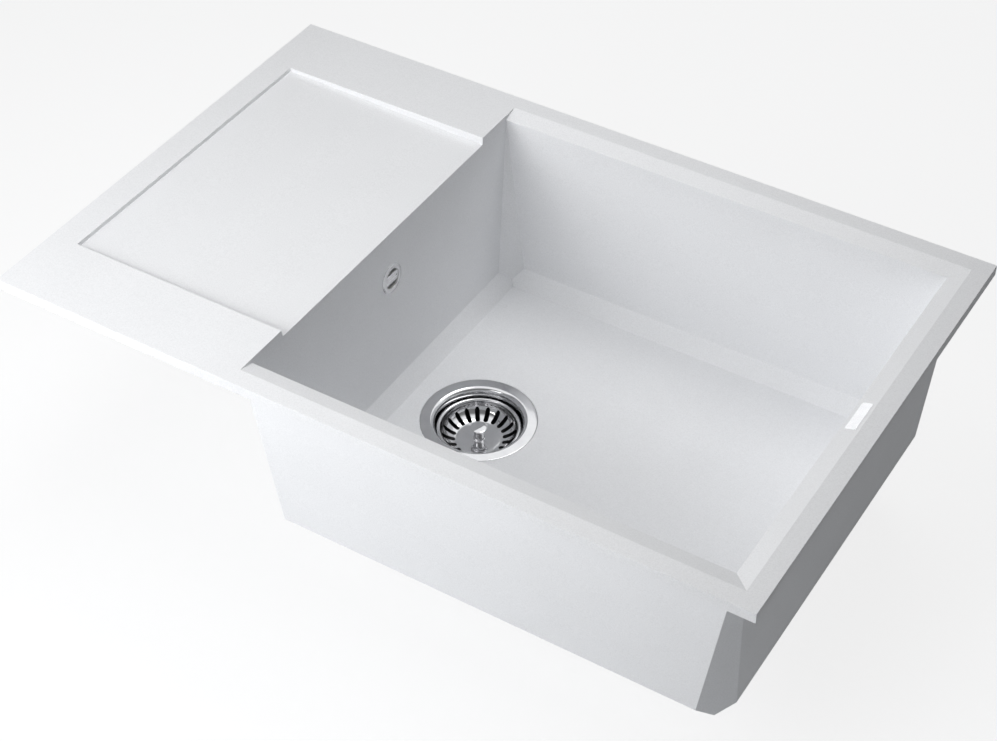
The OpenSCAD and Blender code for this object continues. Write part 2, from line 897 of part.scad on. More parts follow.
basin();
strainer_flange();
flange_seal();
body_gasket();
waste_body();
clamp_screw();
clamp_nut();
basket_cup();
basket_knob();
basket_stem();
basket_stopper();
stopper_retainer();
basket_clip();
overflow_rosette();
overflow_seal();
overflow_elbow();
overflow_hose();
upper_hose_nut();
upper_hose_seal();
lower_hose_nut();
lower_hose_seal();
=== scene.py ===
"""Looks of the kitchen sink: composite basin, pressed strainer, basket, overflow and waste.

The pieces built here are drawn in millimetres, as (radius, height) or (x, y), and made in metres.
"""
import math

import bmesh
import bpy
from mathutils import Matrix, Vector
from mathutils.geometry import delaunay_2d_cdt


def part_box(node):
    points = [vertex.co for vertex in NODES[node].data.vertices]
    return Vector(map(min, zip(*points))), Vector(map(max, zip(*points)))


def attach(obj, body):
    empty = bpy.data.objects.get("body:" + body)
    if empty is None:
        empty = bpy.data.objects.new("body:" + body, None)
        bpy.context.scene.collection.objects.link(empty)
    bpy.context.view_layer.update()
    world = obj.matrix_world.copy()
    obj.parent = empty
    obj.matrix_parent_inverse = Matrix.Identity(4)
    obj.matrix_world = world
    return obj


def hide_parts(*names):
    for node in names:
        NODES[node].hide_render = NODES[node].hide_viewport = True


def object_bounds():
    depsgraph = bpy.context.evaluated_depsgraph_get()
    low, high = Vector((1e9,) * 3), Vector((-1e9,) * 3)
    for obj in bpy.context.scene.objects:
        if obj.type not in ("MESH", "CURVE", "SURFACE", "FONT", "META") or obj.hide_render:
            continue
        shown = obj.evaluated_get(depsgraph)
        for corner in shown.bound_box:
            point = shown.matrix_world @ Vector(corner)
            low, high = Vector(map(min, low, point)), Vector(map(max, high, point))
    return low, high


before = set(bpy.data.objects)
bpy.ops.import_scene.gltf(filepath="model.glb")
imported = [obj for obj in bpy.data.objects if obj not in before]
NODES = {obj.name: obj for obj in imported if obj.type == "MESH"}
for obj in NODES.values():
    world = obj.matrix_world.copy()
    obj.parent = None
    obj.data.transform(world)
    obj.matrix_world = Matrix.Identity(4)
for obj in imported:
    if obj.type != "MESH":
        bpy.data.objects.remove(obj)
CAD_LOW, CAD_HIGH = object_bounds()
scene = bpy.context.scene

MM_PER_M = 1000.0
FULL_TURN = 2 * math.pi


# Node helpers

def new_material(name):
    mat = bpy.data.materials.new(name)
    mat.use_nodes = True
    tree = mat.node_tree
    tree.nodes.clear()
    out = tree.nodes.new("ShaderNodeOutputMaterial")
    bsdf = tree.nodes.new("ShaderNodeBsdfPrincipled")
    tree.links.new(bsdf.outputs[0], out.inputs[0])
    return mat, tree, bsdf


def add(tree, kind, **settings):
    node = tree.nodes.new(kind)
    for key, value in settings.items():
        setattr(node, key, value)
    return node


def coords(tree):
    return add(tree, "ShaderNodeTexCoord").outputs["Object"]


def noise(tree, at, scale, detail=2.0, rough=0.5):
    node = add(tree, "ShaderNodeTexNoise")
    node.inputs["Scale"].default_value = scale
    node.inputs["Detail"].default_value = detail
    node.inputs["Roughness"].default_value = rough
    tree.links.new(at, node.inputs["Vector"])
    return node.outputs["Fac"]


def ramp(tree, fac, stops):
    node = add(tree, "ShaderNodeValToRGB")
    while len(node.color_ramp.elements) < len(stops):
        node.color_ramp.elements.new(0.5)
    for element, (place, colour) in zip(node.color_ramp.elements, stops):
        element.position = place
        element.color = (*colour, 1.0)
    tree.links.new(fac, node.inputs[0])
    return node.outputs[0]


def two_tone(tree, fac, low, high):
    return ramp(tree, fac, [(0.3, low), (0.7, high)])


def spread(tree, fac, low, high):
    node = add(tree, "ShaderNodeMapRange")
    node.inputs["To Min"].default_value = low
    node.inputs["To Max"].default_value = high
    tree.links.new(fac, node.inputs["Value"])
    return node.outputs[0]


def bump(tree, bsdf, height, strength, distance):
    node = add(tree, "ShaderNodeBump")
    node.inputs["Strength"].default_value = strength
    node.inputs["Distance"].default_value = distance
    tree.links.new(height, node.inputs["Height"])
    tree.links.new(node.outputs[0], bsdf.inputs["Normal"])


def srgb(level):
    """Linear value of a level from 0 to 255."""
    c = level / 255.0
    return c / 12.92 if c <= 0.04045 else ((c + 0.055) / 1.055) ** 2.4


def rgb(r, g, b):
    return (srgb(r), srgb(g), srgb(b))


# Materials

def composite_material():
    """White mineral composite: a fine grain in colour, gloss and relief, under a faint cloud."""
    mat, tree, bsdf = new_material("composite_white")
    at = coords(tree)
    fine = noise(tree, at, scale=850.0, detail=3.0, rough=0.6)
    cloud = noise(tree, at, scale=14.0, detail=3.0, rough=0.5)
    grain = ramp(tree, fine, [(0.30, rgb(237, 238, 240)), (0.52, rgb(244, 245, 247)),
                              (0.75, rgb(250, 251, 253))])
    tone = two_tone(tree, cloud, rgb(253, 253, 253), rgb(255, 255, 255))
    mix = add(tree, "ShaderNodeMix", data_type="RGBA", blend_type="MULTIPLY")
    mix.inputs[0].default_value = 1.0
    tree.links.new(grain, mix.inputs[6])
    tree.links.new(tone, mix.inputs[7])
    tree.links.new(mix.outputs[2], bsdf.inputs["Base Color"])
    tree.links.new(spread(tree, fine, low=0.48, high=0.62), bsdf.inputs["Roughness"])
    bsdf.inputs["Specular IOR Level"].default_value = 0.35
    bump(tree, bsdf, fine, strength=0.34, distance=0.0002)
    return mat


def steel_material(name, level, rough, streak=0.04):
    """Metal of one grey level, smeared a little in tone and, by streak, in roughness."""
    mat, tree, bsdf = new_material(name)
    at = coords(tree)
    fine = noise(tree, at, scale=900.0, detail=3.0, rough=0.6)
    smear = noise(tree, at, scale=70.0, detail=4.0, rough=0.6)
    low, high = level - 5, level + 4
    tone = two_tone(tree, smear, rgb(low, low, low + 2), rgb(high, high, high + 1))
    tree.links.new(tone, bsdf.inputs["Base Color"])
    bsdf.inputs["Metallic"].default_value = 1.0
    tree.links.new(spread(tree, smear, rough, rough + streak), bsdf.inputs["Roughness"])
    bump(tree, bsdf, fine, strength=0.03, distance=0.00005)
    return mat


def brass_material():
    mat, tree, bsdf = new_material("brass_turned")
    at = coords(tree)
    fine = noise(tree, at, scale=700.0, detail=3.0, rough=0.6)
    dull = noise(tree, at, scale=120.0, detail=4.0, rough=0.6)
    tone = two_tone(tree, dull, rgb(176, 140, 70), rgb(206, 170, 96))
    tree.links.new(tone, bsdf.inputs["Base Color"])
    bsdf.inputs["Metallic"].default_value = 1.0
    tree.links.new(spread(tree, dull, low=0.26, high=0.4), bsdf.inputs["Roughness"])
    bump(tree, bsdf, fine, strength=0.08, distance=0.0001)
    return mat


def rubber_material(name, level):
    mat, tree, bsdf = new_material(name)
    at = coords(tree)
    fine = noise(tree, at, scale=1100.0, detail=4.0, rough=0.7)
    bloom = noise(tree, at, scale=90.0, detail=3.0, rough=0.5)
    low, high = level - 4, level + 8
    tone = two_tone(tree, bloom, rgb(low, low, low + 1), rgb(high, high, high + 1))
    tree.links.new(tone, bsdf.inputs["Base Color"])
    tree.links.new(spread(tree, fine, low=0.6, high=0.78), bsdf.inputs["Roughness"])
    bsdf.inputs["Specular IOR Level"].default_value = 0.4
    bump(tree, bsdf, fine, strength=0.25, distance=0.0002)
    return mat


def plastic_material(name, colour, rough, grain=0.12):
    mat, tree, bsdf = new_material(name)
    at = coords(tree)
    fine = noise(tree, at, scale=800.0, detail=3.0, rough=0.6)
    flow = noise(tree, at, scale=45.0, detail=3.0, rough=0.5)
    low = tuple(srgb(c - 4) for c in colour)
    high = tuple(srgb(min(c + 3, 255)) for c in colour)
    tree.links.new(two_tone(tree, flow, low, high), bsdf.inputs["Base Color"])
    tree.links.new(spread(tree, flow, rough, rough + 0.1), bsdf.inputs["Roughness"])
    bsdf.inputs["Specular IOR Level"].default_value = 0.5
    bump(tree, bsdf, fine, strength=grain, distance=0.00015)
    return mat


COMPOSITE = composite_material()
STEEL = steel_material("steel_pressed", level=207, rough=0.05, streak=0.03)
STEEL_TURNED = steel_material("steel_turned", level=207, rough=0.05, streak=0.02)
# Rough like unpolished steel, but its dark level 70 is painted shade, for the dish below the basket and
# the basket's slot edges and underside.
STEEL_DULL_SHADE = steel_material("steel_dull_painted_shade", level=70, rough=0.5, streak=0.1)
CHROME = steel_material("chrome_plate", level=205, rough=0.22, streak=0.05)
BADGE_PLATE = steel_material("badge_plate", level=224, rough=0.12)
BRASS = brass_material()
SEAL_RUBBER = rubber_material("rubber_seal", level=52)
STOPPER_RUBBER = rubber_material("rubber_stopper", level=30)
WHITE_PLASTIC = plastic_material("plastic_white", (232, 232, 229), rough=0.38)
# White plastic of the overflow's bore, set lighter than the other white plastic: the extra lightness is
# painted light against the shade deep in the bore.
BORE_PLASTIC_LIGHTENED = plastic_material("plastic_bore_painted_light", (250, 250, 249), rough=0.3)
CLIP_PLASTIC = plastic_material("plastic_clip", (224, 225, 222), rough=0.42)
HOSE_PLASTIC = plastic_material("plastic_hose", (196, 198, 200), rough=0.45, grain=0.2)


# Mesh helpers

AXIS_RADIUS = 1e-7


def object_from(bm, name, mats, sharp, place=None):
    """Object of the mesh, shaded smooth up to the angle sharp, in degrees."""
    bmesh.ops.recalc_face_normals(bm, faces=bm.faces[:])
    if place is not None:
        bm.transform(place)
    mesh = bpy.data.meshes.new(name)
    bm.to_mesh(mesh)
    bm.free()
    mesh.polygons.foreach_set("use_smooth", [True] * len(mesh.polygons))
    mesh.set_sharp_from_angle(angle=math.radians(sharp))
    for mat in mats:
        mesh.materials.append(mat)
    obj = bpy.data.objects.new(name, mesh)
    scene.collection.objects.link(obj)
    return obj


def lathe(bm, outline, steps, closed=True):
    """Turns (radius, z) points, in metres, round the z axis."""
    rings = []
    for r, z in outline:
        if r < AXIS_RADIUS:
            rings.append([bm.verts.new((0, 0, z))])
        else:
            rings.append([
                bm.verts.new((r * math.cos(FULL_TURN * i / steps),
                              r * math.sin(FULL_TURN * i / steps), z))
                for i in range(steps)
            ])
    pairs = list(zip(rings, rings[1:]))
    if closed:
        pairs.append((rings[-1], rings[0]))
    for a, b in pairs:
        for i in range(steps):
            j = (i + 1) % steps
            if len(a) == 1 and len(b) == 1:
                break
            if len(a) == 1:
                bm.faces.new((a[0], b[i], b[j]))
            elif len(b) == 1:
                bm.faces.new((a[i], a[j], b[0]))
            else:
                bm.faces.new((a[i], a[j], b[j], b[i]))


def bridge(bm, a, b):
    """Quads between two rings of as many vertices."""
    for k in range(len(a)):
        n = (k + 1) % len(a)
        bm.faces.new((a[k], a[n], b[n], b[k]))


def arc(cx, cz, r, start, end, steps):
    return [
        (cx + r * math.cos(math.radians(start + (end - start) * i / steps)),
         cz + r * math.sin(math.radians(start + (end - start) * i / steps)))
        for i in range(steps + 1)
    ]


def circle(cx, cy, r, steps):
    return [(cx + r * math.cos(FULL_TURN * i / steps), cy + r * math.sin(FULL_TURN * i / steps))
            for i in range(steps)]


def thicken(path, t):
    """Closed outline of a sheet whose shown face runs along the path, the sheet at its left."""
    back = []
    for i, p in enumerate(path):
        a = path[max(i - 1, 0)]
        b = path[min(i + 1, len(path) - 1)]
        dx, dz = b[0] - a[0], b[1] - a[1]
        length = math.hypot(dx, dz)
        back.append((p[0] - dz / length * t, p[1] + dx / length * t))
    return path + back[::-1]


def to_metres(points):
    return [(r / MM_PER_M, z / MM_PER_M) for r, z in points]


def stand_for(obj, body, slot, *nodes):
    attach(obj, body)
    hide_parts(*nodes)


# Places of the drain and the overflow, in metres, and the bowl wall's lean over its drop, in mm

flange_low, flange_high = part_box("strainer_flange")
DRAIN = Vector(((flange_low.x + flange_high.x) / 2, 0.0, flange_high.z))
AT_DRAIN = Matrix.Translation(DRAIN)
BOWL_WALL_LEAN, BOWL_WALL_DROP = 7.0, 184.5
WALL_ANGLE = math.atan(BOWL_WALL_LEAN / BOWL_WALL_DROP)
OVERFLOW = Vector((-0.1211235, 0.0, -0.049))
AT_OVERFLOW = Matrix.Translation(OVERFLOW) @ Matrix.Rotation(math.radians(90) - WALL_ANGLE, 4, "Y")


# Strainer flange and dish

FLANGE_R, FLANGE_RIM_Z, FLANGE_EDGE_R = 58.6, -0.8, 0.7
FLANGE_TOP_RADII = (56.0, 53.0, 50.6)
LIP_CENTRE_R, LIP_R = 49.2, 5.0
DISH_WALL = [(44.1, -10.0), (43.9, -15.0), (41.8, -22.0), (40.2, -27.0), (38.6, -32.0)]
CORNER_CENTRE_R, CORNER_R = 30.0, 8.0
DISH_DEPTH, DISH_T = 42.0, 1.0
BOTTOM_OUTER_R, BOTTOM_R = 24.0, 20.2
DISH_HOLES, DISH_HOLE_RING_R, DISH_HOLE_R, SCREW_HOLE_R = 8, 15.2, 4.5, 4.1
DISH_STEPS, HOLE_STEPS = 192, 40
# Depth below which the dish is dark, rough steel: painted shade under the basket, and a dull finish.
DISH_DULL_SHADE_BELOW = 20.0
DISH_MERGE = 2e-6
PLAN_TOLERANCE = 1e-5


def build_flange():
    path = (
        [(FLANGE_R, FLANGE_RIM_Z)]
        + arc(FLANGE_R - FLANGE_EDGE_R, -FLANGE_EDGE_R, FLANGE_EDGE_R, 0, 90, 6)[1:]
        + [(r, 0.0) for r in FLANGE_TOP_RADII]
        + arc(LIP_CENTRE_R, -LIP_R, LIP_R, 90, 180, 24)
        + DISH_WALL
        + arc(CORNER_CENTRE_R, CORNER_R - DISH_DEPTH, CORNER_R, -6, -90, 20)
        + [(BOTTOM_OUTER_R, -DISH_DEPTH), (BOTTOM_R, -DISH_DEPTH)]
    )
    bm = bmesh.new()
    lathe(bm, to_metres(thicken(path, DISH_T)), DISH_STEPS)
    # Flat bottom with its ring of holes and the screw's hole
    outline, edges = [], []

    def loop(points):
        first = len(outline)
        outline.extend(Vector(p) for p in points)
        n = len(points)
        edges.extend((first + i, first + (i + 1) % n) for i in range(n))

    loop(circle(0.0, 0.0, BOTTOM_R, DISH_STEPS))
    turns = [math.radians(360 / DISH_HOLES * k) for k in range(DISH_HOLES)]
    holes = [(DISH_HOLE_RING_R * math.cos(t), DISH_HOLE_RING_R * math.sin(t), DISH_HOLE_R)
             for t in turns] + [(0.0, 0.0, SCREW_HOLE_R)]
    for cx, cy, r in holes:
        loop(circle(cx, cy, r, HOLE_STEPS))
    verts, _, faces, _, _, _ = delaunay_2d_cdt(outline, edges, [], 0, PLAN_TOLERANCE)
    levels = (-DISH_DEPTH / MM_PER_M, -(DISH_DEPTH + DISH_T) / MM_PER_M)
    for z in levels:
        made = [bm.verts.new((v.x / MM_PER_M, v.y / MM_PER_M, z)) for v in verts]
        for face in faces:
            c = sum((verts[i] for i in face), Vector((0, 0))) / len(face)
            in_hole = any(math.hypot(c.x - hx, c.y - hy) < r for hx, hy, r in holes)
            if c.length <= BOTTOM_R and not in_hole:
                bm.faces.new([made[i] for i in face])
    for cx, cy, r in holes:
        rings = [[bm.verts.new((x / MM_PER_M, y / MM_PER_M, z))
                  for x, y in circle(cx, cy, r, HOLE_STEPS)] for z in levels]
        bridge(bm, rings[0], rings[1])
    bmesh.ops.remove_doubles(bm, verts=bm.verts[:], dist=DISH_MERGE)
    # Faces deep in the dish take the dark steel, painted shade where the basket hangs over them.
    for face in bm.faces:
        if face.calc_center_median().z < -DISH_DULL_SHADE_BELOW / MM_PER_M:
            face.material_index = 1
    return object_from(bm, "flange_pressed", (STEEL, STEEL_DULL_SHADE), 30.0, AT_DRAIN)


# Basket

CUP_T = 0.6
SLOTS = 20
SLOT_R = 2.4
SLOT_IN, SLOT_OUT = 23.7, 36.9
SLOT_TURN = math.radians(-1.2)
SLOT_MARGIN = 0.35
SLOT_SIDE_STEPS, SLOT_END_STEPS, SECTOR_STEPS = 12, 12, 8
STEM_HOLE_R = 2.6
DISC_R, WALL_R, ROLL_R = 22.0, 38.5, 2.1
WALL_TOP, FLOOR_Z = -11.3, -25.8
WALL_SHARE = 1.08
DISC_RADII = (STEM_HOLE_R, 8.0, 14.0, 19.0, 21.0, DISC_R)
SLOTTED_RADII = (DISC_R, 22.3, 22.8, 23.4, 24.2, 26.0, 28.0, 30.0, 32.0, 33.6, 35.0, 36.2, 37.0, 37.6)
UPPER_RADII = (SLOTTED_RADII[-1], 37.95, 38.2, 38.35, 38.45)
SLIVER_AREA = 0.002


def wall_z(r):
    share = min(max((r - DISC_R) / (WALL_R - DISC_R), 0.0), 1.0)
    level = math.sqrt(max(1.0 - share ** (2 / WALL_SHARE), 0.0))
    return WALL_TOP - (WALL_TOP - FLOOR_Z) * level ** WALL_SHARE


def wall_normal(r):
    """Radial and upward part of the shown face's normal, exact for the wall's curve."""
    power = 2 / WALL_SHARE - 1
    share = min(max((r - DISC_R) / (WALL_R - DISC_R), 0.0), 1.0)
    depth = min(max((WALL_TOP - wall_z(r)) / (WALL_TOP - FLOOR_Z), 0.0), 1.0)
    normal = Vector((-share ** power / (WALL_R - DISC_R), depth ** power / (WALL_TOP - FLOOR_Z)))
    return normal.normalized()


def slot_axis_point(p):
    return Vector((min(max(p.x, SLOT_IN + SLOT_R), SLOT_OUT - SLOT_R), 0.0))


def slot_sector():
    """Flat triangles of one slot's share of the wall, and the slot's outline, seen from above."""
    half = math.pi / SLOTS
    a, b, n = SLOT_IN + SLOT_R, SLOT_OUT - SLOT_R, SLOT_SIDE_STEPS
    outline = [(a + (b - a) * i / n, SLOT_R) for i in range(n)]
    outline += [(b + x, y) for x, y in arc(0.0, 0.0, SLOT_R, 90, -90, SLOT_END_STEPS)[:-1]]
    outline += [(b - (b - a) * i / n, -SLOT_R) for i in range(n)]
    outline += [(a + x, y) for x, y in arc(0.0, 0.0, SLOT_R, -90, -270, SLOT_END_STEPS)[:-1]]
    steps = [half - 2 * half * k / SECTOR_STEPS for k in range(SECTOR_STEPS + 1)]
    last_r = SLOTTED_RADII[-1]
    border = [(r, half) for r in SLOTTED_RADII] + [(last_r, t) for t in steps[1:-1]]
    border += [(r, -half) for r in SLOTTED_RADII[::-1]] + [(DISC_R, t) for t in steps[-2:0:-1]]
    points = [Vector(p) for p in outline]
    edges = [(i, (i + 1) % len(outline)) for i in range(len(outline))]
    first = len(points)
    points += [Vector((r * math.cos(t), r * math.sin(t))) for r, t in border]
    edges += [(first + i, first + (i + 1) % len(border)) for i in range(len(border))]
    for r in SLOTTED_RADII[1:-1]:
        for t in steps[1:-1]:
            p = Vector((r * math.cos(t), r * math.sin(t)))
            if (p - slot_axis_point(p)).length > SLOT_R + SLOT_MARGIN:
                points.append(p)
    verts, _, faces, _, _, _ = delaunay_2d_cdt(points, edges, [], 0, PLAN_TOLERANCE)
    keep = []
    inner_chord = DISC_R * math.cos(half / SECTOR_STEPS)
    for face in faces:
        a, b, c = (verts[i] for i in face)
        middle = (a + b + c) / 3
        area = abs((b - a).cross(c - a)) / 2
        clear = (middle - slot_axis_point(middle)).length > SLOT_R
        if clear and area > SLIVER_AREA and inner_chord < middle.length < last_r:
            keep.append(face)
    return verts, keep, [Vector(p) for p in outline]


def build_basket():
    """The pressed sheet, both faces and the slots' cut edges, with the curve's exact normals."""
    verts, index, faces, normals, slots = [], {}, [], [], []

    def vertex(p):
        key = tuple(round(c, 4) for c in p)
        if key not in index:
            index[key] = len(verts)
            verts.append((p[0] / MM_PER_M, p[1] / MM_PER_M, p[2] / MM_PER_M))
        return index[key]

    def face(corners, bends, slot):
        ids = [vertex(p) for p in corners]
        if len(set(ids)) == len(ids):
            faces.append(ids)
            normals.extend(bends)
            slots.append(slot)

    def sheet(corners, bends):
        """One piece of the shown face, wound so that it faces along its normals, and its back."""
        turn = (Vector(corners[1]) - Vector(corners[0])).cross(Vector(corners[2]) - Vector(corners[1]))
        if turn.dot(bends[1]) < 0:
            corners, bends = corners[::-1], bends[::-1]
        face(corners, bends, 0)
        # The back face takes the dark steel: painted shade under the sheet.
        face([p - CUP_T * n for p, n in zip(corners, bends)][::-1], [-n for n in bends][::-1], 1)

    def on_wall(p):
        lean = wall_normal(p.length)
        out = p.normalized()
        return Vector((p.x, p.y, wall_z(p.length))), Vector((out.x * lean.x, out.y * lean.x, lean.y))

    plan, keep, outline = slot_sector()
    for s in range(SLOTS):
        turn = Matrix.Rotation(FULL_TURN * s / SLOTS + SLOT_TURN, 2)
        placed = [on_wall(turn @ p) for p in plan]
        for ids in keep:
            sheet([placed[i][0] for i in ids], [placed[i][1] for i in ids])
        for k in range(len(outline)):
            corners, bends = [], []
            for flat in (outline[k], outline[(k + 1) % len(outline)]):
                p, n = on_wall(turn @ flat)
                inward = turn @ (slot_axis_point(flat) - flat)
                wall = Vector((inward.x, inward.y, 0.0))
                wall = (wall - n * wall.dot(n)).normalized()
                corners += [p, p - CUP_T * n]
                bends += [wall, wall]
            order = (0, 1, 3, 2)
            across = (corners[1] - corners[0]).cross(corners[3] - corners[1])
            if across.dot(bends[0]) < 0:
                order = (2, 3, 1, 0)
            # The slots' cut edges take the dark steel: painted shade that darkens the slots.
            face([corners[i] for i in order], [bends[i] for i in order], 1)
    disc = [(r, FLOOR_Z, 0.0, 1.0) for r in DISC_RADII]
    upper = [(r, wall_z(r), *wall_normal(r)) for r in UPPER_RADII]
    roll = [(x, z, (x - WALL_R - ROLL_R) / ROLL_R, (z - WALL_TOP) / ROLL_R)
            for x, z in arc(WALL_R + ROLL_R, WALL_TOP, ROLL_R, 180, 0, 24)]
    steps = SLOTS * SECTOR_STEPS
    for path in (disc, upper + roll):
        for (r0, z0, a0, b0), (r1, z1, a1, b1) in zip(path, path[1:]):
            for i in range(steps):
                angles = [FULL_TURN * k / steps + SLOT_TURN + math.pi / SLOTS for k in (i, i + 1)]
                corners, bends = [], []
                for r, z, a, b, turn in ((r0, z0, a0, b0, angles[0]), (r1, z1, a1, b1, angles[0]),
                                         (r1, z1, a1, b1, angles[1]), (r0, z0, a0, b0, angles[1])):
                    corners.append(Vector((r * math.cos(turn), r * math.sin(turn), z)))
                    bends.append(Vector((a * math.cos(turn), a * math.sin(turn), b)))
                sheet(corners, bends)
    mesh = bpy.data.meshes.new("basket_pressed")
    mesh.from_pydata(verts, [], faces)
    mesh.polygons.foreach_set("use_smooth", [True] * len(mesh.polygons))
    mesh.polygons.foreach_set("material_index", slots)
    mesh.normals_split_custom_set(normals)
    mesh.transform(AT_DRAIN)
    for mat in (STEEL, STEEL_DULL_SHADE):
        mesh.materials.append(mat)
    obj = bpy.data.objects.new("basket_pressed", mesh)
    scene.collection.objects.link(obj)
    return obj


def build_knob():
    """Turned knob: a spool with a low foot, a hollow neck and a thin, nearly flat cap, bored from
    below. Its foot stands on the basket's disc."""
    bore_r, bore_depth = 2.55, 11.0
    foot_r, foot_edge_r = 5.8, 0.25
    waist_r, waist_w, waist_z, waist_h = 5.9, 1.0, 3.4, 3.0
    neck_r, neck_low, neck_high = 4.9, 5.0, 6.6
    flare_r, flare_w, flare_z, flare_h = 8.2, 3.3, 8.6, 6.4
    cap_edge_x, cap_edge_z, cap_edge_r = 8.1, 15.2, 0.2
    dome_r, dome_z, dome_h, top = 8.05, 15.4, 0.6, 16.0
    path = [(bore_r, 0.0), (foot_r, 0.0)]
    path += arc(foot_r, foot_edge_r, foot_edge_r, -90, 60, 6)[1:]
    path += [(waist_r - waist_w * math.sin(math.radians(a)), waist_z - waist_h * math.cos(math.radians(a)))
             for a in range(4, 91, 6)]
    path += [(neck_r, neck_low), (neck_r, neck_high)]
    path += [(flare_r - flare_w * math.cos(math.radians(a)), flare_z + flare_h * math.sin(math.radians(a)))
             for a in range(0, 91, 6)]
    path += arc(cap_edge_x, cap_edge_z, cap_edge_r, -60, 60, 6)
    path += [(dome_r * math.cos(math.radians(a)), dome_z + dome_h * math.sin(math.radians(a)))
             for a in range(6, 90, 6)]
    path += [(0.0, top), (0.0, bore_depth), (bore_r, bore_depth)]
    bm = bmesh.new()
    lathe(bm, to_metres(path), 96)
    return object_from(bm, "knob_turned", (STEEL_TURNED,), 40.0,
                       AT_DRAIN @ Matrix.Translation((0, 0, FLOOR_Z / MM_PER_M)))


# Overflow rosette

def build_rosette():
    """Thin chromed ring with a broad chamfer, a moulded bore, and a bar with a coin groove."""
    back_z, ring_r, rim_z, rim_edge_r = -0.02, 16.0, 0.2, 0.15
    chamfer_top, face_edge_r, ring_face_z = (13.9, 0.86), 13.75, 0.9
    face_in_r, lip_x, lip_z, lip_r = 11.3, 11.1, 0.5, 0.4
    bore_r, bore_top = 10.7, 0.1
    stub_r, stub_end, back_in_r = 11.9, -22.0, 12.4
    shown = [(back_in_r, back_z), (ring_r, back_z), (ring_r, rim_z)]
    shown += arc(ring_r - rim_edge_r, rim_z, rim_edge_r, 0, 70, 3)[1:]
    shown += [chamfer_top, (face_edge_r, ring_face_z), (face_in_r, ring_face_z)]
    shown += arc(lip_x, lip_z, lip_r, 75, 180, 6) + [(bore_r, bore_top)]
    bore = [(bore_r, z) for z in (bore_top, -6.0, -14.0, stub_end)]
    bore += [(stub_r, stub_end), (stub_r, back_z), (back_in_r, back_z)]
    steps = 96
    bm = bmesh.new()
    lathe(bm, to_metres(shown), steps, closed=False)
    chromed = len(bm.faces)
    lathe(bm, to_metres(bore), steps, closed=False)
    bm.faces.ensure_lookup_table()
    # The bore's faces take the lightened white plastic, painted light in its shaded gaps.
    for face in bm.faces[chromed:]:
        face.material_index = 1
    base, face_z, half, rounding = -2.1, 0.3, 5.15, 0.35
    groove, groove_edge, groove_depth, groove_reach = 1.0, 0.1, 0.6, 8.4
    bar_end_r, merge = 11.2, 1e-6

    def section(grooved):
        side = arc(half - rounding, face_z - rounding, rounding, 0, 90, 4)
        left = [(-x, z) for x, z in side[::-1]]
        middle = []
        if grooved:
            cut = [(groove + groove_edge, face_z), (groove, face_z - groove_edge),
                   (groove, face_z - groove_depth)]
            middle = cut + [(-x, z) for x, z in cut[::-1]]
        return [(half, base)] + side + middle + left + [(-half, base)]

    def stretch(points, reach):
        ends = [[bm.verts.new((x / MM_PER_M, side(x) / MM_PER_M, z / MM_PER_M)) for x, z in points]
                for side in reach]
        bridge(bm, ends[0], ends[1])
        bm.faces.new(ends[0])
        bm.faces.new(ends[1][::-1])

    def wall(x):
        return math.sqrt(bar_end_r ** 2 - x * x)

    stretch(section(False), (lambda x: -wall(x), lambda x: -groove_reach))
    stretch(section(True), (lambda x: -groove_reach, lambda x: groove_reach))
    stretch(section(False), (lambda x: groove_reach, wall))
    bmesh.ops.remove_doubles(bm, verts=bm.verts[:], dist=merge)
    return object_from(bm, "rosette_chromed", (CHROME, BORE_PLASTIC_LIGHTENED), 30.0, AT_OVERFLOW)


# Ribbed hose

# Share of the pitch and share of the rib's height, from one valley to the next
RIB_SHARES = ((0.12, 0.04), (0.24, 0.35), (0.32, 0.82), (0.42, 1.0), (0.58, 1.0),
              (0.68, 0.82), (0.76, 0.35), (0.88, 0.04), (1.0, 0.0))


def build_hose():
    """Ribbed hose from the elbow, down, round a bend and level to the waste body."""
    r_bend, bore, cuff, crest = 45.0, 9.0, 10.5, 12.0
    x0, top, run_z = -157.1235, -83.4, -222.0
    drain_x, port_reach, grip = -23.4, 73.3, 9.0
    cuff_length, cuff_step, end_edge, rib_room, bore_step = 24.0, 8.0, 0.3, 4.0, 4.0
    end_x = drain_x - port_reach + grip
    drop = top - run_z - r_bend
    turn = r_bend * math.pi / 2
    run = end_x - x0 - r_bend
    total = drop + turn + run
    count = int((total - 2 * cuff_length) // rib_room)
    pitch = (total - 2 * cuff_length) / count

    def place(s):
        if s < drop:
            return x0, top - s, 0.0
        if s < drop + turn:
            a = (s - drop) / r_bend
            return x0 + r_bend * (1 - math.cos(a)), run_z + r_bend * (1 - math.sin(a)), a
        return end_x - (total - s), run_z, math.pi / 2

    outside = [(0.0, cuff - end_edge), (end_edge, cuff)]
    outside += [(cuff_step * k, cuff) for k in (1, 2, 3)]
    for i in range(count):
        base = cuff_length + i * pitch
        for share, height in RIB_SHARES:
            outside.append((base + share * pitch, cuff + (crest - cuff) * height))
    outside += [(total - cuff_step * k, cuff) for k in (2, 1)]
    outside += [(total - end_edge, cuff), (total, cuff - end_edge)]
    inside = [(total, bore)]
    inside += [(total - bore_step * k, bore) for k in range(1, int(total // bore_step) + 1)]
    inside.append((0.0, bore))
    sides = 40
    bm = bmesh.new()
    rings = []
    for s, r in outside + inside:
        x, z, a = place(s)
        rings.append([
            bm.verts.new(((x + r * math.cos(t) * math.cos(a)) / MM_PER_M, r * math.sin(t) / MM_PER_M,
                          (z + r * math.cos(t) * math.sin(a)) / MM_PER_M))
            for t in (FULL_TURN * k / sides for k in range(sides))])
    for a, b in zip(rings, rings[1:] + rings[:1]):
        bridge(bm, a, b)
    return object_from(bm, "hose_ribbed", (HOSE_PLASTIC,), 50.0)


# Outlet thread

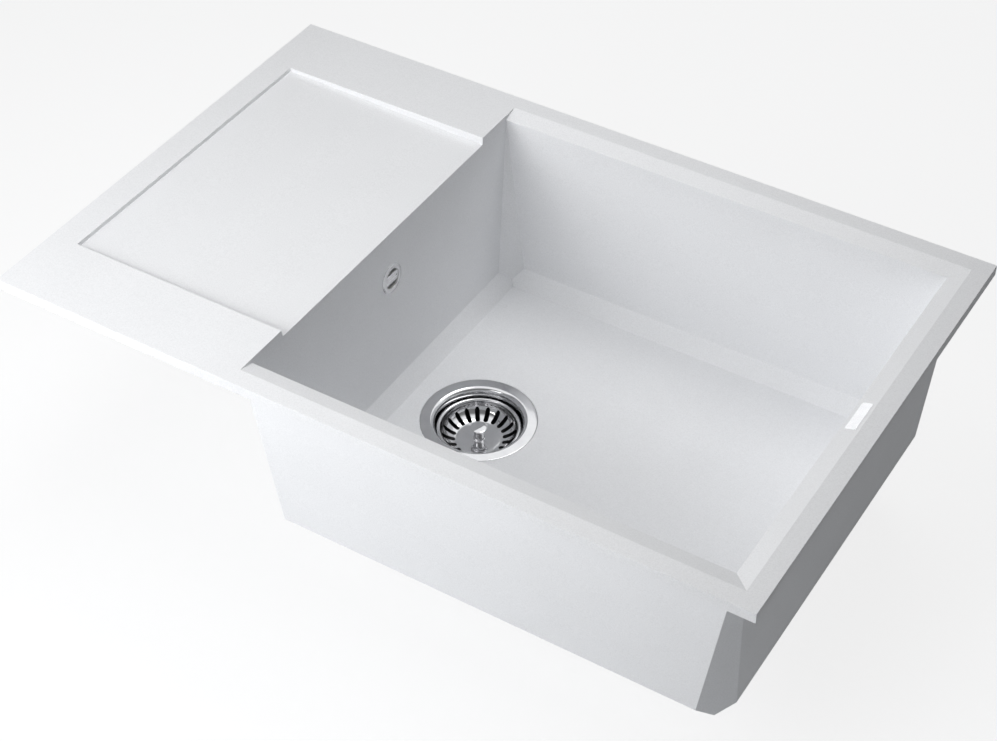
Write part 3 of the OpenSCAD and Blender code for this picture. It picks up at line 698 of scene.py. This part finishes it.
def build_thread():
    """The outlet's pipe thread, one low ridge that fades in and out at its ends."""
    r, height, pitch, half, root = 23.85, 0.35, 2.31, 0.8, 0.3
    low, high, steps = -273.6, -254.6, 64
    foot_share, crest_share = 0.75, 0.15
    count = int((high - low) / pitch * steps)
    bm = bmesh.new()
    rings = []
    for i in range(count + 1):
        turn = FULL_TURN * i / steps
        z = low + pitch * i / steps
        fade = min(1.0, i / (steps / 2), (count - i) / (steps / 2))
        crest = r + height * fade
        profile = ((r - root, -half), (r, -half * foot_share), (crest, -half * crest_share),
                   (crest, half * crest_share), (r, half * foot_share), (r - root, half))
        rings.append([
            bm.verts.new((radius * math.cos(turn) / MM_PER_M, radius * math.sin(turn) / MM_PER_M,
                          (z + offset) / MM_PER_M - DRAIN.z))
            for radius, offset in profile])
    for a, b in zip(rings, rings[1:]):
        bridge(bm, a, b)
    bm.faces.new(rings[0][::-1])
    bm.faces.new(rings[-1])
    return object_from(bm, "outlet_thread", (WHITE_PLASTIC,), 30.0, AT_DRAIN)


# Badge plate, left bare

BADGE_PLACE = (0.3642, -0.0007, 0.00864)
BEVEL_DROP, BEVEL_WIDTH = 4.9, 16.9


def build_badge():
    """A blank plate on the right-hand bevel, parallel to it."""
    length, width, high, r, below = 38.2, 10.3, 0.5, 1.6, 0.05
    edge, edge_middle = 0.2, 0.06
    x, y = length / 2 - r, width / 2 - r
    outline = []
    for cx, cy, start in ((x, y, 0), (-x, y, 90), (-x, -y, 180), (x, -y, 270)):
        outline += arc(cx, cy, r, start, start + 90, 8)
    bm = bmesh.new()
    layers = []
    for inset, z in ((0.0, -below), (0.0, high - edge), (edge_middle, high - edge_middle), (edge, high)):
        layers.append([
            bm.verts.new(((x - math.copysign(inset, x)) / MM_PER_M,
                          (y - math.copysign(inset, y)) / MM_PER_M, z / MM_PER_M))
            for x, y in outline])
    for a, b in zip(layers, layers[1:]):
        bridge(bm, a, b)
    bm.faces.new(layers[-1])
    bm.faces.new(layers[0][::-1])
    slope = math.atan(BEVEL_DROP / BEVEL_WIDTH)
    place = Matrix.Translation(BADGE_PLACE) @ Matrix.Rotation(-slope, 4, "Y") \
        @ Matrix.Rotation(math.radians(90), 4, "Z")
    return object_from(bm, "badge_plate_bare", (BADGE_PLATE,), 40.0, place)


# Dress the CAD nodes

WELD_DISTANCE = 0.000002
FLAT_ANGLE = 0.2


def soften(node, width, segments=2, angle=30.0):
    """Rounds the node's edges that are sharper than the angle, after its flat faces are merged."""
    obj = NODES[node]
    join = obj.modifiers.new("join", "WELD")
    join.merge_threshold = WELD_DISTANCE
    planar = obj.modifiers.new("planar", "DECIMATE")
    planar.decimate_type = "DISSOLVE"
    planar.angle_limit = math.radians(FLAT_ANGLE)
    edge = obj.modifiers.new("edge", "BEVEL")
    edge.width = width
    edge.segments = segments
    edge.limit_method = "ANGLE"
    edge.angle_limit = math.radians(angle)
    edge.harden_normals = False
    edge.use_clamp_overlap = True
    normals = obj.modifiers.new("normals", "WEIGHTED_NORMAL")
    normals.keep_sharp = False
    normals.weight = 100
    obj.data.polygons.foreach_set("use_smooth", [True] * len(obj.data.polygons))


FINISH = {
    "basin": COMPOSITE,
    "flange_seal": SEAL_RUBBER,
    "body_gasket": SEAL_RUBBER,
    "overflow_seal": SEAL_RUBBER,
    "upper_hose_seal": SEAL_RUBBER,
    "lower_hose_seal": SEAL_RUBBER,
    "waste_body": WHITE_PLASTIC,
    "overflow_elbow": WHITE_PLASTIC,
    "upper_hose_nut": WHITE_PLASTIC,
    "lower_hose_nut": WHITE_PLASTIC,
    "clamp_screw": STEEL_TURNED,
    "clamp_nut": BRASS,
    "basket_stem": STEEL_TURNED,
    "basket_stopper": STOPPER_RUBBER,
    "stopper_retainer": STEEL_TURNED,
    "basket_clip": CLIP_PLASTIC,
    "strainer_flange": STEEL,
    "basket_cup": STEEL,
    "basket_knob": STEEL_TURNED,
    "overflow_rosette": CHROME,
    "overflow_hose": HOSE_PLASTIC,
}
# Width of the rounded edges, in metres
SOFT_EDGES = {
    "waste_body": 0.0004,
    "overflow_elbow": 0.0004,
    "upper_hose_nut": 0.0003,
    "lower_hose_nut": 0.0003,
    "clamp_screw": 0.0002,
    "clamp_nut": 0.0003,
    "basket_stopper": 0.0004,
    "basket_clip": 0.0001,
    "basket_stem": 0.0002,
    "stopper_retainer": 0.0002,
}
for name, mat in FINISH.items():
    NODES[name].data.materials.clear()
    NODES[name].data.materials.append(mat)

soften("basin", 0.0006, segments=3, angle=12.0)
for name, width in SOFT_EDGES.items():
    soften(name, width)

stand_for(build_flange(), "sink", "steel", "strainer_flange")
stand_for(build_basket(), "basket", "steel", "basket_cup")
stand_for(build_knob(), "basket", "chrome", "basket_knob")
stand_for(build_rosette(), "sink", "chrome", "overflow_rosette")
stand_for(build_hose(), "sink", "hose_plastic", "overflow_hose")
for piece, slot in ((build_badge(), "chrome"), (build_thread(), "white_plastic")):
    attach(piece, "sink")


# Floor, camera and light

FLOOR_HALF = 12.0
FLOOR_GAP = 0.0005
FLOOR_GLOW = 1.04
FLOOR_GLOW_SHARE = 0.8


def build_floor():
    """A pale floor just under the part. Seen directly or mirrored, most of it glows white, and
    the rest still takes the part's shadow."""
    bm = bmesh.new()
    z = CAD_LOW.z - FLOOR_GAP
    corners = [bm.verts.new((x, y, z)) for x, y in ((-FLOOR_HALF, -FLOOR_HALF), (FLOOR_HALF, -FLOOR_HALF),
                                                    (FLOOR_HALF, FLOOR_HALF), (-FLOOR_HALF, FLOOR_HALF))]
    bm.faces.new(corners)
    mesh = bpy.data.meshes.new("floor")
    bm.to_mesh(mesh)
    bm.free()
    obj = bpy.data.objects.new("floor", mesh)
    scene.collection.objects.link(obj)
    mat, tree, bsdf = new_material("floor_white")
    cloud = noise(tree, coords(tree), scale=3.0)
    tree.links.new(two_tone(tree, cloud, rgb(243, 245, 248), rgb(247, 249, 252)),
                   bsdf.inputs["Base Color"])
    bsdf.inputs["Roughness"].default_value = 0.9
    glow = add(tree, "ShaderNodeEmission")
    glow.inputs["Strength"].default_value = FLOOR_GLOW
    mix = add(tree, "ShaderNodeMixShader")
    ray = add(tree, "ShaderNodeLightPath")
    either = add(tree, "ShaderNodeMath", operation="MAXIMUM")
    share = add(tree, "ShaderNodeMath", operation="MULTIPLY")
    share.inputs[1].default_value = FLOOR_GLOW_SHARE
    tree.links.new(ray.outputs["Is Camera Ray"], either.inputs[0])
    tree.links.new(ray.outputs["Is Glossy Ray"], either.inputs[1])
    tree.links.new(either.outputs[0], share.inputs[0])
    tree.links.new(share.outputs[0], mix.inputs[0])
    tree.links.new(bsdf.outputs[0], mix.inputs[1])
    tree.links.new(glow.outputs[0], mix.inputs[2])
    out = next(n for n in tree.nodes if n.type == "OUTPUT_MATERIAL")
    tree.links.new(mix.outputs[0], out.inputs[0])
    mesh.materials.append(mat)


SENSOR_WIDTH, FOCAL_LENGTH = 36.0, 75.822
CLIP_NEAR, CLIP_FAR = 0.05, 100.0
CAMERA_PLACE = (0.78677, -1.27372, 1.25396)
CAMERA_RIGHT = Vector((0.8518139, 0.5238396, -0.00226782))
CAMERA_DOWN = Vector((0.35163544, -0.57499144, -0.73874038))
CAMERA_AHEAD = Vector((-0.38828544, 0.62847189, -0.67398628))


def build_camera():
    """The camera as it was solved from the rim's corners and edges in the photo."""
    data = bpy.data.cameras.new("camera")
    data.sensor_width = SENSOR_WIDTH
    data.lens = FOCAL_LENGTH
    data.clip_start, data.clip_end = CLIP_NEAR, CLIP_FAR
    cam = bpy.data.objects.new("camera", data)
    scene.collection.objects.link(cam)
    turn = Matrix((CAMERA_RIGHT, -CAMERA_DOWN, -CAMERA_AHEAD)).transposed().to_4x4()
    cam.matrix_world = Matrix.Translation(CAMERA_PLACE) @ turn
    scene.camera = cam


# Name, place and size in metres, power in watts, and whether gloss mirrors the lamp
LAMPS = (
    ("left_low", (-0.7, -0.9, 0.5), 0.9, 6.14, True),
    ("mid_top", (-0.15, -0.1, 1.0), 0.7, 3.46, False),
    ("front_low", (-0.3, -1.2, 0.5), 0.9, 6.4, True),
    ("back_top", (0.1, 0.8, 1.7), 0.9, 9.54, True),
)
LAMP_AIM = (0.0, 0.0, -0.05)


def area_lamp(name, place, size, power, mirrored):
    data = bpy.data.lights.new(name, "AREA")
    data.shape = "DISK"
    data.size = size
    data.energy = power
    lamp = bpy.data.objects.new(name, data)
    scene.collection.objects.link(lamp)
    lamp.location = place
    lamp.rotation_mode = "QUATERNION"
    lamp.rotation_quaternion = (Vector(LAMP_AIM) - Vector(place)).to_track_quat("-Z", "Y")
    lamp.visible_glossy = mirrored


SKY_TINT = (0.98, 0.99, 1.0, 1)
SKY_DIFFUSE, SKY_DIM, SKY_BRIGHT, SKY_SEEN = 0.02, 0.25, 1.3, 1.1
SKY_BRIGHT_TOWARD = (-0.2, 0.6, 0.77)
SKY_FADE_START, SKY_FADE_END = 0.35, 0.7


def build_world():
    """Pale surroundings: an even level for diffuse light, an even white where they are seen, and
    where they are mirrored a white ceiling and far side, dimmer towards the viewer's side."""
    world = bpy.data.worlds.new("studio")
    world.use_nodes = True
    tree = world.node_tree
    tree.nodes.clear()
    out = tree.nodes.new("ShaderNodeOutputWorld")
    back = tree.nodes.new("ShaderNodeBackground")
    back.inputs["Color"].default_value = SKY_TINT
    ray = add(tree, "ShaderNodeLightPath")
    where = add(tree, "ShaderNodeTexCoord")
    toward = add(tree, "ShaderNodeVectorMath", operation="DOT_PRODUCT")
    toward.inputs[1].default_value = SKY_BRIGHT_TOWARD
    tree.links.new(where.outputs["Generated"], toward.inputs[0])
    side = add(tree, "ShaderNodeMapRange", interpolation_type="SMOOTHSTEP")
    side.inputs["From Min"].default_value = SKY_FADE_START
    side.inputs["From Max"].default_value = SKY_FADE_END
    side.inputs["To Min"].default_value = SKY_DIM
    side.inputs["To Max"].default_value = SKY_BRIGHT
    tree.links.new(toward.outputs["Value"], side.inputs["Value"])
    mirrored = add(tree, "ShaderNodeMix", data_type="FLOAT")
    mirrored.inputs[2].default_value = SKY_DIFFUSE
    tree.links.new(ray.outputs["Is Glossy Ray"], mirrored.inputs[0])
    tree.links.new(side.outputs[0], mirrored.inputs[3])
    seen = add(tree, "ShaderNodeMix", data_type="FLOAT")
    seen.inputs[3].default_value = SKY_SEEN
    tree.links.new(ray.outputs["Is Camera Ray"], seen.inputs[0])
    tree.links.new(mirrored.outputs[0], seen.inputs[2])
    tree.links.new(seen.outputs[0], back.inputs["Strength"])
    tree.links.new(back.outputs[0], out.inputs[0])
    scene.world = world


build_floor()
build_camera()
build_world()
for lamp_settings in LAMPS:
    area_lamp(*lamp_settings)

scene.view_settings.view_transform = "Standard"
